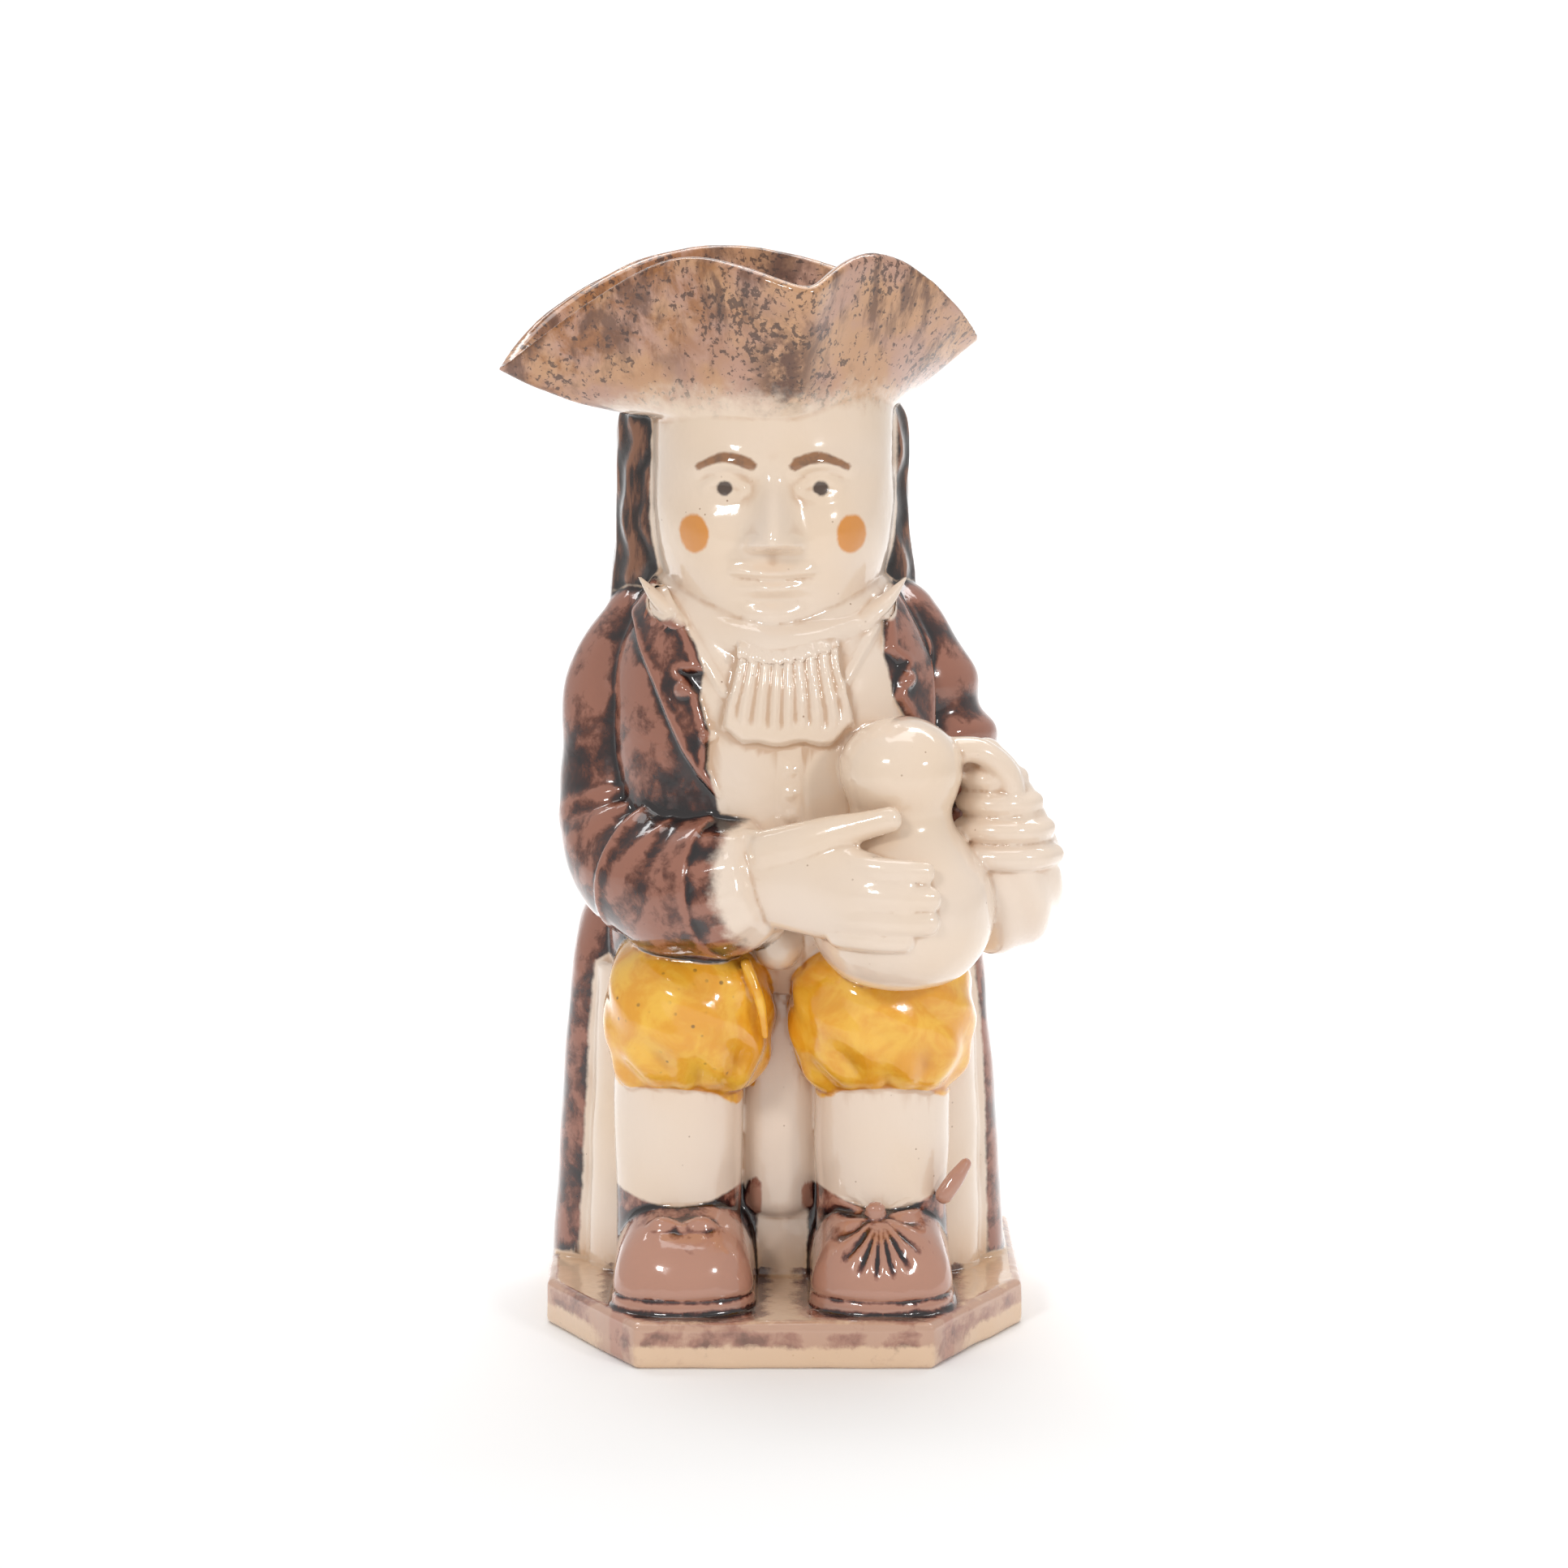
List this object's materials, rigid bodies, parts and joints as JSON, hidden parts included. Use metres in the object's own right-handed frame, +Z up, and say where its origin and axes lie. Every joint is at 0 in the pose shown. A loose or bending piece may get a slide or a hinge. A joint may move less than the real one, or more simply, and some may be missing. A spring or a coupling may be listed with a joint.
{
  "type": "toby jug",
  "caption": "Glazed earthenware ale jug in the form of a seated figure in a tricorn hat holding a small pitcher, with a loop handle behind.",
  "frame": {"origin": "middle of the base's underside, on the surface the jug stands on", "axes": "+Z up through the hat, -Y towards the viewer the figure faces, +X to the viewer's right"},
  "size_m": [0.1267, 0.1318, 0.246],
  "materials": {
    "glazed_creamware": "glossy lead glaze over brown, ochre and cream colours"
  },
  "bodies": {
    "root": {"toby_jug": "glazed_creamware"}
  },
  "joints": []
}
